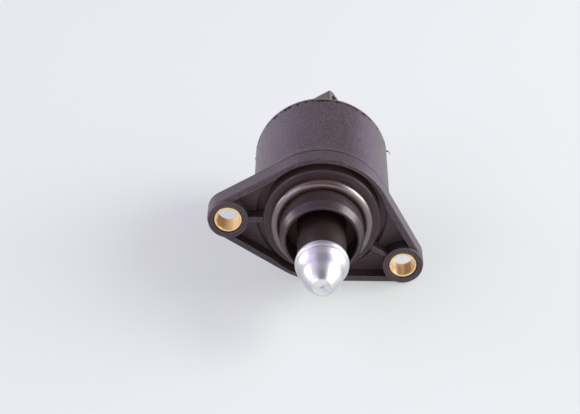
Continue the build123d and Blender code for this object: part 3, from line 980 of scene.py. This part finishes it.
@dataclass
class Finishes:
    """All materials of the part, made once."""

    axis: NoseAxis
    black: Colour = (0.037, 0.024, 0.0268)
    black_flow: Colour = (0.047, 0.0312, 0.035)
    black_fleck: Colour = (0.15, 0.122, 0.135)
    stained_centre: float = 0.9 * MM

    def outer_plastics(self) -> dict[str, Material]:
        """Makes the black plastics of flange, housing and cover, with their marks about the nose axis.

        Returns:
            Materials by name.
        """
        housing_low, housing_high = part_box("motor_housing")
        cover_low, cover_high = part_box("rear_cover")
        marks = NoseMarks(self.axis, seam=-housing_high[1], joint=-housing_low[1])
        # The edges of flange and cover carry painted highlights, golden ones on the cover.
        flange = MouldedPlastic("black_nylon", self.black, self.black_flow, self.black_fleck, marks=marks,
                                grain=2100.0, depth=0.09 * MM, edge=0.36 * MM, edge_highlight_share=0.9,
                                edge_highlight_tone=(0.25, 0.205, 0.225))
        housing = MouldedPlastic("drawn_nylon", self.black, self.black_flow, self.black_fleck, marks=marks,
                                 lay=Grain.AXIAL)
        # The cover's outer rim carries a painted golden highlight.
        cover = MouldedPlastic("cover_nylon", (0.052, 0.033, 0.033), (0.064, 0.042, 0.041),
                               self.black_fleck, marks=marks, edge=0.4 * MM, edge_highlight_share=0.9,
                               edge_highlight_tone=(0.3, 0.2, 0.115), rim=(cover_high[0] - cover_low[0]) / 2)
        return {"black_plastic": flange.build(), "housing_plastic": housing.build(),
                "cover_plastic": cover.build()}

    def other_plastics(self) -> dict[str, Material]:
        """Makes the plastics without marks about the nose axis, and the rubber.

        Returns:
            Materials by name.
        """
        # Flash crumbs coloured near black as painted shade along the seam.
        flash = MouldedPlastic("flash_shade_nylon", (0.006, 0.004, 0.0035), (0.009, 0.006, 0.005),
                               (0.03, 0.022, 0.02), gloss=(0.5, 0.65), shine=0.15, edge_highlight_share=0.2,
                               hollow_fill_share=0.0)
        stem = MouldedPlastic("stem_nylon", (0.014, 0.0075, 0.006), (0.02, 0.0115, 0.0095),
                              (0.06, 0.046, 0.042), gloss=(0.3, 0.44), sheen=(1.0, 0.82, 0.8),
                              depth=0.012 * MM, hollow_fill_share=0.0)
        rotor = MouldedPlastic("rotor_nylon", (0.66, 0.63, 0.55), (0.7, 0.67, 0.6), (0.8, 0.78, 0.72))
        spool = MouldedPlastic("spool_nylon", (0.75, 0.72, 0.64), (0.78, 0.75, 0.68), (0.85, 0.83, 0.78))
        rubber = MouldedRubber("nitrile", (0.026, 0.0145, 0.0115), (0.07, 0.04, 0.03))
        return {"flash_shade_plastic": flash.build(), "stem_plastic": stem.build(),
                "rotor_plastic": rotor.build(), "spool_plastic": spool.build(), "rubber": rubber.build()}

    def metals(self) -> dict[str, Material]:
        """Makes the metals and the magnet's ferrite.

        Returns:
            Materials by name.
        """
        tip = TurnedMetal("turned_aluminium", (0.86, 0.845, 0.865), (0.58, 0.575, 0.6), self.axis,
                          stain_reach=self.stained_centre, faced_reach=ValveTip.end_radius,
                          groove=ValveTip.base() + ValveTip.line_at)
        screw = TurnedMetal("screw_steel", (0.56, 0.55, 0.55), (0.42, 0.41, 0.41), self.axis)
        brass = PlatedMetal("brass", (1.0, 0.75, 0.35), (1.0, 0.65, 0.24), (0.18, 0.3), mottle=650.0,
                            metal=0.5, depth=0.0006 * MM)
        steel = PlatedMetal("tinned_steel", (0.6, 0.6, 0.61), (0.48, 0.48, 0.5))
        ferrite = PlatedMetal("ferrite", (0.045, 0.044, 0.046), (0.065, 0.062, 0.064), (0.5, 0.65),
                              mottle=1500.0, pores=0.5, metal=0.0)
        bronze = PlatedMetal("sintered_bronze", (0.56, 0.36, 0.18), (0.4, 0.25, 0.12), (0.35, 0.5),
                             mottle=1200.0, pores=0.7)
        copper = PlatedMetal("enamelled_copper", (0.62, 0.25, 0.1), (0.45, 0.16, 0.06), (0.2, 0.3))
        tin = PlatedMetal("tinned_brass", (0.68, 0.67, 0.64), (0.56, 0.54, 0.5), (0.2, 0.34))
        return {"tip_aluminium": tip.build(), "screw_steel": screw.build(), "brass": brass.build(),
                "steel": steel.build(), "ferrite": ferrite.build(), "bronze": bronze.build(),
                "copper": copper.build(), "tin": tin.build()}

    def build(self) -> dict[str, Material]:
        """Makes every finish.

        Returns:
            Materials by slot name of the record, with three more for the housing, the cover and the flash.
        """
        made = self.outer_plastics() | self.other_plastics() | self.metals()
        LOG.info("finishes: %d", len(made))
        return made


@dataclass
class CarriedNodes:
    """Nodes of the frame whose shape is kept, dressed by their slots."""

    nodes: dict[str, Piece]
    finishes: dict[str, Material]
    own: dict[str, str] = field(default_factory=lambda: {
        "motor_housing": "housing_plastic", "rear_cover": "cover_plastic"})

    def dress_all(self) -> None:
        """Puts the finish of its slot, or its own, on each node."""
        for name, node in self.nodes.items():
            slot = node.material_slots[0].material.name.split(".")[0]
            finish = self.own.get(name, slot)
            dress(node, self.finishes[finish])
            LOG.info("%s: %s", name, finish)


@dataclass
class NoseSeal:
    """Rubber ring on the nose, flat where it grips, with the fine parting line of its mould."""

    axis: NoseAxis
    finish: Material
    node: str = "nose_o_ring"
    flat: float = 0.06 * MM
    line_rise: float = 0.025 * MM
    line_half_width: float = 0.09 * MM
    segments: int = 256
    steps: int = 96

    def profile(self) -> list[Point]:
        """Gives the ring's section from the box of its node.

        Returns:
            Points by radius and depth.
        """
        low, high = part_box(self.node)
        section = (high[1] - low[1]) / 2
        middle = (high[0] - low[0]) / 2 - section
        depth = -(low[1] + high[1]) / 2
        points = []
        for step in range(self.steps):
            turn = math.tau * (step - self.steps / 2) / self.steps
            off_line = turn * section / self.line_half_width
            reach = section + self.line_rise * math.exp(-off_line * off_line) - self.line_rise
            radius = max(middle + reach * math.cos(turn), middle - section + self.flat)
            points.append((radius, depth + reach * math.sin(turn)))
        return points

    def build(self) -> None:
        """Makes the ring in place of its node."""
        ring = turned_mesh("sealing_ring", self.axis, self.profile(), self.segments)
        fit(ring, Body.HOUSING, "rubber", self.finish, self.node)


@dataclass
class ValveTip:
    """Turned tip: rim, fine line, steep land, blunt rounded cone and a faced end with its centre pip."""

    axis: NoseAxis
    finish: Material
    node: str = "valve_tip"
    soft: float = 0.04 * MM
    spigot_radius: float = 4.0 * MM
    spigot_length: float = 5.0 * MM
    rim: float = 0.9 * MM
    rim_edge: float = 0.15 * MM
    line_radius: float = 6.75 * MM
    line_at: float = 2.0 * MM
    line_cut: float = 0.32 * MM
    line_form: tuple[Point, ...] = ((1.0, -1.5), (-1.0, -0.5), (-1.0, 0.5), (-0.4, 0.9))
    land_radius: float = 5.8 * MM
    land_at: float = 3.9 * MM
    shoulder_radius: float = 5.4 * MM
    shoulder_at: float = 5.8 * MM
    bulge: float = 0.65 * MM
    cone_steps: int = 36
    end_radius: float = 2.6 * MM
    end_edge: float = 0.2 * MM
    pip_radius: float = 0.35 * MM
    pip_form: tuple[Point, ...] = ((1.0, 0.0), (0.5, 0.3), (0.0, 0.5))
    facing_pitch: float = 0.11 * MM
    facing_cut: float = 0.006 * MM
    segments: int = 256

    @classmethod
    def base(cls) -> float:
        """Gives the depth where the rim starts in front of its spigot."""
        return cls.spigot_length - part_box(cls.node)[1][1]

    def cone(self, shoulder: float, end: float) -> list[Point]:
        """Gives the rounded cone between shoulder and end, with the fine feed marks of the tool.

        Args:
            shoulder: Depth of the shoulder.
            end: Depth where the cone ends.

        Returns:
            Points by radius and depth.
        """
        start = Vector((self.shoulder_radius, shoulder))
        stop = Vector((self.end_radius, end))
        pull = (start + stop) / 2 + Vector((2 * self.bulge, 0.0))
        points = []
        for step in range(1, self.cone_steps):
            radius, depth = arc_point(start, pull, stop, step / self.cone_steps)
            mark = self.facing_cut / 2 if step % 2 else 0.0
            points.append((radius - mark, depth))
        return points

    def facing(self, end: float) -> list[Point]:
        """Gives the faced end with its fine rings.

        Args:
            end: Depth of the end.

        Returns:
            Points by radius and depth, from its edge to the pip.
        """
        outer = self.end_radius - self.end_edge
        count = int((self.end_radius - self.end_edge - self.pip_radius) / self.facing_pitch)
        return [(outer - index * self.facing_pitch, end - self.facing_cut * (index % 2))
                for index in range(count)]

    def side(self, radius: float, base: float) -> list[Corner]:
        """Gives the corners from the spigot to the shoulder.

        Args:
            radius: Radius of the rim.
            base: Depth where the rim starts.

        Returns:
            Corners in order.
        """
        soft = self.soft
        line = base + self.line_at
        before, *floor = [(self.line_radius + out * self.line_cut, line + ahead * self.line_cut)
                          for out, ahead in self.line_form]
        return [
            Corner(0.0, base - self.spigot_length),
            Corner(self.spigot_radius, base - self.spigot_length, soft),
            Corner(self.spigot_radius, base, soft),
            Corner(radius - self.rim_edge, base, soft),
            Corner(radius, base + self.rim_edge, 2 * soft),
            Corner(radius, base + self.rim, 3 * soft),
            Corner(*before, 2 * soft),
            *(Corner(*place, soft) for place in floor),
            Corner(self.land_radius, base + self.land_at, 6 * soft),
            Corner(self.shoulder_radius, base + self.shoulder_at),
        ]

    def build(self) -> None:
        """Makes the tip in place of its node."""
        low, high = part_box(self.node)
        end = -low[1]
        base = self.base()
        profile = rounded(self.side((high[0] - low[0]) / 2, base), closed=False)
        profile += self.cone(base + self.shoulder_at, end - self.end_edge)
        profile.append((self.end_radius, end - self.end_edge))
        profile += self.facing(end)
        profile += [(out * self.pip_radius, end - sunk * self.pip_radius) for out, sunk in self.pip_form]
        tip = turned_mesh("turned_tip", self.axis, profile, self.segments, closed=False)
        fit(tip, Body.PINTLE, "tip_aluminium", self.finish, self.node)


@dataclass
class FlangeBush:
    """Brass bush in an ear, with rolled lips at both ends."""

    node: str
    finish: Material
    wall: float = 0.6 * MM
    inner_lip: float = 0.36 * MM
    outer_lip: float = 0.2 * MM
    lip_steps: int = 8
    segments: int = 160

    def build(self) -> None:
        """Makes the bush in place of its node."""
        low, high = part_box(self.node)
        axis = NoseAxis.from_node(self.node)
        outer = (high[0] - low[0]) / 2
        bore = outer - self.wall
        corners = [
            Corner(bore, -high[1], self.inner_lip),
            Corner(outer, -high[1], self.outer_lip),
            Corner(outer, -low[1], self.outer_lip),
            Corner(bore, -low[1], self.inner_lip),
        ]
        profile = rounded(corners, self.lip_steps)
        bush = turned_mesh(self.node.replace("flange_bush", "brass_bush"), axis, profile, self.segments)
        fit(bush, Body.HOUSING, "brass", self.finish, self.node)


@dataclass
class WeldFlash:
    """Crumbs of plastic squeezed out of the seam of the rear cover, and one hair of it at the side; their
    near-black finish is painted shade.
    """

    axis: NoseAxis
    finish: Material
    count: int = 78
    seed: int = 11
    ahead: Span = (0.35 * MM, 0.7 * MM)
    height: Span = (0.06 * MM, 0.18 * MM)
    width: Span = (0.4 * MM, 1.7 * MM)
    length: Span = (0.8 * MM, 1.6 * MM)
    swell: Span = (0.72, 1.12)
    levels: tuple[Point, ...] = ((-0.5, 1.0), (0.25, 0.92), (0.7, 0.62))
    sides: int = 9
    sharp: float = 60.0
    hair_radius: float = 0.2 * MM
    hair_taper: float = 0.7
    hair_flatness: float = 0.4
    hair_sides: int = 6
    hair_path: tuple[Triple, ...] = (
        (0.0, 0.14, 0.0), (0.35, 0.138, 0.2), (0.7, 0.128, 0.5), (0.85, 0.115, 0.9), (1.05, 0.108, 1.25))

    def crumb(self, shape: bmesh.types.BMesh, middle: Vector, across: Vector, along: Vector, up: Vector,
              chance: random.Random) -> None:
        """Adds one lumpy crumb.

        Args:
            shape: Mesh to add to.
            middle: Place on the surface.
            across: Half its width, along the seam.
            along: Half its length, across the seam.
            up: Its height.
            chance: Seeded chance.
        """
        rings = []
        for level, share in self.levels:
            ring = []
            for index in range(self.sides):
                turn = math.tau * index / self.sides
                swell = share * chance.uniform(*self.swell)
                side = across * math.cos(turn) + along * math.sin(turn)
                ring.append(shape.verts.new(middle + side * swell + up * level))
            rings.append(ring)
        top = shape.verts.new(middle + up)
        for first, second in zip(rings, rings[1:]):
            join_rings(shape, first, second)
        for index in range(self.sides):
            shape.faces.new((rings[-1][index], rings[-1][(index + 1) % self.sides], top))

    def hair(self, shape: bmesh.types.BMesh, path: list[Vector]) -> None:
        """Adds a thin hair along a path.

        Args:
            shape: Mesh to add to.
            path: Points from root to end.
        """
        rings = []
        for index, place in enumerate(path):
            taper = self.hair_radius * (1.0 - self.hair_taper * index / (len(path) - 1))
            ring = []
            for side in range(self.hair_sides):
                turn = math.tau * side / self.hair_sides
                wide, tall = math.cos(turn), math.sin(turn)
                offset = Vector((self.hair_flatness * wide, wide, tall)) * taper
                ring.append(shape.verts.new(place + offset))
            rings.append(ring)
        for first, second in zip(rings, rings[1:]):
            join_rings(shape, first, second)
        shape.faces.new(rings[-1])

    def build(self) -> None:
        """Makes the flash along the seam."""
        seam = -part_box("motor_housing")[1][1]
        cover_low, cover_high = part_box("rear_cover")
        radius = (cover_high[0] - cover_low[0]) / 2
        chance = random.Random(self.seed)
        shape = bmesh.new()
        for _ in range(self.count):
            turn = chance.uniform(0.0, math.tau)
            depth = seam + chance.uniform(*self.ahead)
            out = Vector((math.cos(turn), 0.0, math.sin(turn)))
            across = Vector((-math.sin(turn), 0.0, math.cos(turn))) * chance.uniform(*self.width) / 2
            along = Vector((0.0, 1.0, 0.0)) * chance.uniform(*self.length) / 2
            up = out * chance.uniform(*self.height)
            self.crumb(shape, self.axis.point(radius, turn, depth), across, along, up, chance)
        self.hair(shape, [self.axis.point(radius + rise * MM, turn, seam + ahead * MM)
                          for rise, turn, ahead in self.hair_path])
        bmesh.ops.recalc_face_normals(shape, faces=shape.faces)
        flash = mesh_object("seam_flash", shape, self.sharp)
        fit(flash, Body.HOUSING, "black_plastic", self.finish)


@dataclass
class Winding:
    """Coil wound in neat turns, seen as rows of wire on its outside."""

    node: str
    axis: NoseAxis
    finish: Material
    inner: float = 10.6 * MM
    wire: float = 0.3 * MM
    segments: int = 128
    steps: int = 5

    def build(self) -> None:
        """Makes the winding in place of its node."""
        low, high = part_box(self.node)
        outer = (high[0] - low[0]) / 2
        rear, front = -high[1], -low[1]
        turns = int((front - rear) / self.wire)
        pitch = (front - rear) / turns
        profile = [(self.inner, front), (self.inner, rear)]
        for turn in range(turns):
            for step in range(self.steps):
                lean = math.pi * (step + 0.5) / self.steps
                radius = outer - pitch / 2 + pitch / 2 * math.sin(lean)
                profile.append((radius, rear + pitch * (turn + 0.5) - pitch / 2 * math.cos(lean)))
        coil = turned_mesh(self.node.replace("coil", "winding"), self.axis, profile, self.segments)
        fit(coil, Body.HOUSING, "copper", self.finish, self.node)


@dataclass
class LeadScrew:
    """Lead screw with its rolled thread of one millimetre a turn."""

    axis: NoseAxis
    finish: Material
    node: str = "lead_screw"
    pitch: float = 1.0 * MM
    thread: float = 0.45 * MM
    root_end: float = 0.22
    crest_start: float = 0.4
    crest_end: float = 0.78
    sharp: float = 30.0
    steps: int = 48
    plain: float = 13.5 * MM
    core_rise: float = 0.02 * MM
    runout: float = 0.3 * MM
    rear_round: float = 0.2 * MM
    front_round: float = 0.3 * MM
    segments: int = 96

    def build_thread(self, root: float, crest: float, rear: float, front: float) -> None:
        """Makes the thread.

        Args:
            root: Radius of the thread's root.
            crest: Radius of its crest.
            rear: Depth where it starts.
            front: Depth where it ends.
        """
        shape = bmesh.new()
        form = ((root, 0.0), (root, self.root_end), (crest, self.crest_start), (crest, self.crest_end))
        rows = int((front - rear - self.pitch) / self.pitch * self.steps)
        grid = []
        for row in range(rows):
            turn = math.tau * row / self.steps
            start = rear + self.pitch * row / self.steps
            grid.append([shape.verts.new(self.axis.point(radius, turn, start + self.pitch * place))
                         for radius, place in form])
        for row in range(rows - 1):
            for column in range(len(form) - 1):
                shape.faces.new((grid[row][column], grid[row + 1][column],
                                 grid[row + 1][column + 1], grid[row][column + 1]))
            above = row + self.steps
            if above < rows - 1:
                shape.faces.new((grid[row][-1], grid[row + 1][-1], grid[above + 1][0], grid[above][0]))
        bmesh.ops.recalc_face_normals(shape, faces=shape.faces)
        screw = mesh_object("lead_screw_thread", shape, self.sharp)
        fit(screw, Body.PINTLE, "screw_steel", self.finish)

    def build(self) -> None:
        """Makes the screw in place of its node: a plain end in the plunger and a thread behind it."""
        low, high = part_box(self.node)
        crest = (high[0] - low[0]) / 2
        root = crest - self.thread
        rear, front = -high[1], -low[1]
        plain_from = front - self.plain
        self.build_thread(root, crest, rear, plain_from)
        core = root + self.core_rise
        corners = [
            Corner(0.0, rear),
            Corner(core, rear, self.rear_round),
            Corner(core, plain_from - self.runout),
            Corner(crest, plain_from),
            Corner(crest, front, self.front_round),
            Corner(0.0, front),
        ]
        profile = rounded(corners, closed=False)
        shank = turned_mesh("lead_screw_shank", self.axis, profile, self.segments, closed=False)
        fit(shank, Body.PINTLE, "screw_steel", self.finish, self.node)


@dataclass(frozen=True)
class Camera:
    """Camera that stands where the photograph was taken."""

    place: Triple = (-4.0405 * MM, -459.928 * MM, 271.923 * MM)
    yaw: float = -0.006819301
    pitch: float = 0.515643959
    roll: float = 0.007488303
    focus: float = 1951.906
    width: float = 580.0
    sensor: float = 36.0
    nearest: float = 10.0 * MM

    def build(self) -> None:
        """Makes the camera and gives it to the scene."""
        level_reach = math.cos(self.pitch)
        ahead = Vector((math.sin(self.yaw) * level_reach, math.cos(self.yaw) * level_reach,
                        -math.sin(self.pitch)))
        level = Vector((math.cos(self.yaw), -math.sin(self.yaw), 0.0))
        upright = level.cross(ahead)
        right = level * math.cos(self.roll) + upright * math.sin(self.roll)
        above = right.cross(ahead)
        turn = Matrix((right, above, -ahead)).transposed().to_4x4()
        data = bpy.data.cameras.new("camera")
        data.sensor_fit = "HORIZONTAL"
        data.sensor_width = self.sensor
        data.lens = self.focus * self.sensor / self.width
        data.clip_start = self.nearest
        camera = bpy.data.objects.new("camera", data)
        camera.matrix_world = Matrix.Translation(Vector(self.place)) @ turn
        bpy.context.scene.collection.objects.link(camera)
        bpy.context.scene.camera = camera
        LOG.info("camera: lens %.2f mm", data.lens)


@dataclass(frozen=True)
class Softbox:
    """One soft lamp that looks at the part."""

    name: str
    place: Triple
    size: Span
    power: float
    colour: Colour

    def build(self) -> None:
        """Makes the lamp."""
        data = bpy.data.lights.new(self.name, "AREA")
        data.shape = "RECTANGLE"
        data.size, data.size_y = self.size
        data.energy = self.power
        data.color = self.colour
        lamp = bpy.data.objects.new(self.name, data)
        lamp.location = self.place
        lamp.rotation_euler = (-Vector(self.place)).to_track_quat("-Z", "Y").to_euler()
        bpy.context.scene.collection.objects.link(lamp)


@dataclass(frozen=True)
class Sky:
    """Light from all round: tones by direction, and the spans of side, distance and height between them.

    Bright walls stand at both sides. A dimmer strip runs between them, from the rear over the top, with
    one panel overhead, a shade at the rear right and a bright foot in front. A dark gap lies above the
    foot.
    """

    left_wall: Colour = (1.08, 0.95, 1.28)
    right_wall: Colour = (1.33, 1.14, 1.88)
    wall_change: Span = (-0.1, 0.1)
    front_wall: Colour = (0.72, 0.69, 0.8)
    front_away: Span = (0.25, -0.1)
    strip_middle: float = 0.06
    strip_edge: Span = (0.5, 0.38)
    horizon: Colour = (0.66, 0.63, 0.74)
    ceiling: Colour = (0.165, 0.15, 0.18)
    ceiling_rise: Span = (0.42, 0.68)
    shade_side: Span = (0.02, 0.22)
    shade_away: Span = (0.3, 0.6)
    shade_rise: Span = (0.02, 0.2)
    shade_share: float = 0.9
    panel: Colour = (0.48, 0.45, 0.55)
    panel_rise: Span = (0.86, 0.93)
    foot: Colour = (1.05, 1.0, 1.08)
    foot_away: Span = (0.0, -0.3)
    foot_fall: Span = (0.4, 0.25)
    gap: Colour = (0.08, 0.066, 0.09)
    gap_away: Span = (0.0, -0.15)
    gap_rise: Span = (0.35, 0.55)
    gap_edge: Span = (0.72, 0.52)

    def build(self) -> None:
        """Makes the world's light."""
        world = bpy.data.worlds.new("studio")
        world.use_nodes = True
        bpy.context.scene.world = world
        sky = NodeGraph.of_tree(world.node_tree)
        split = sky.tree.nodes.new("ShaderNodeSeparateXYZ")
        sky.wire(sky.tree.nodes.new("ShaderNodeTexCoord").outputs["Generated"], split.inputs[0])
        side, away, height = split.outputs
        off = sky.math("ABSOLUTE", sky.math("SUBTRACT", side, self.strip_middle))
        tone = sky.blend(sky.ramp(height, *self.ceiling_rise), self.horizon, self.ceiling)
        shade = sky.math("MULTIPLY", sky.ramp(side, *self.shade_side), sky.ramp(away, *self.shade_away))
        shade = sky.math("MULTIPLY", shade, sky.ramp(height, *self.shade_rise, 0.0, self.shade_share))
        tone = sky.blend(shade, tone, self.ceiling)
        tone = sky.blend(sky.ramp(height, *self.panel_rise), tone, self.panel)
        foot = sky.math("MULTIPLY", sky.ramp(away, *self.foot_away), sky.ramp(height, *self.foot_fall))
        tone = sky.blend(foot, tone, self.foot)
        walls = sky.blend(sky.ramp(side, *self.wall_change), self.left_wall, self.right_wall)
        walls = sky.blend(sky.ramp(away, *self.front_away), walls, self.front_wall)
        tone = sky.blend(sky.ramp(off, *self.strip_edge), walls, tone)
        gap = sky.math("MULTIPLY", sky.ramp(away, *self.gap_away), sky.ramp(height, *self.gap_rise))
        gap = sky.math("MULTIPLY", gap, sky.ramp(off, *self.gap_edge))
        tone = sky.blend(gap, tone, self.gap)
        back = world.node_tree.nodes["Background"]
        sky.wire(tone, back.inputs["Color"])
        back.inputs["Strength"].default_value = 1.0


@dataclass
class Studio:
    """Pale floor, shaped sky and lamps."""

    floor_level: float
    floor_reach: float = 6.0
    floor_colour: Colour = (0.855, 0.88, 0.865)
    backdrop: Colour = (0.735, 0.752, 0.782)
    sky: Sky = Sky()
    lamps: tuple[Softbox, ...] = (
        Softbox("left_softbox", (-1.04, 0.28, 0.2), (0.75, 0.36), 4.0, (1.0, 0.98, 1.0)),
        Softbox("right_softbox", (0.97, 0.1, 0.48), (0.75, 0.65), 12.8, (0.94, 1.03, 0.84)),
        Softbox("front_left_softbox", (-0.81, -0.77, 0.5), (0.62, 0.68), 3.3, (1.0, 0.96, 1.03)),
        Softbox("front_right_softbox", (0.92, -0.71, 0.38), (0.66, 0.72), 2.8, (1.0, 0.96, 1.0)),
    )

    def build_floor(self) -> None:
        """Lays the floor."""
        shape = bmesh.new()
        reach = self.floor_reach
        corners = [(-reach, -reach), (reach, -reach), (reach, reach), (-reach, reach)]
        shape.faces.new([shape.verts.new((x, y, self.floor_level)) for x, y in corners])
        floor = mesh_object("floor", shape)
        dress(floor, PaleFloor("pale_floor", self.floor_colour, self.backdrop).build())
        floor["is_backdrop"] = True

    def build(self) -> None:
        """Makes floor, sky and lamps."""
        self.build_floor()
        self.sky.build()
        for lamp in self.lamps:
            lamp.build()
        scene = bpy.context.scene
        scene.view_settings.view_transform = "Standard"
        LOG.info("studio: %d lamps", len(self.lamps))


def main() -> None:
    """Builds the part's looks and its studio."""
    logging.basicConfig(level=logging.INFO, format="%(name)s %(message)s")
    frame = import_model()
    cad_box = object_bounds()
    axis = NoseAxis.from_node("motor_housing")
    finishes = Finishes(axis).build()
    CarriedNodes(frame["nodes"], finishes).dress_all()
    NoseSeal(axis, finishes["rubber"]).build()
    ValveTip(axis, finishes["tip_aluminium"]).build()
    for side in ("left", "right"):
        FlangeBush(f"flange_bush_{side}", finishes["brass"]).build()
    WeldFlash(axis, finishes["flash_shade_plastic"]).build()
    for phase in ("front", "rear"):
        Winding(f"{phase}_coil", axis, finishes["copper"]).build()
    LeadScrew(axis, finishes["screw_steel"]).build()
    Camera().build()
    Studio(cad_box[0][2]).build()


if __name__ == "__main__":
    main()
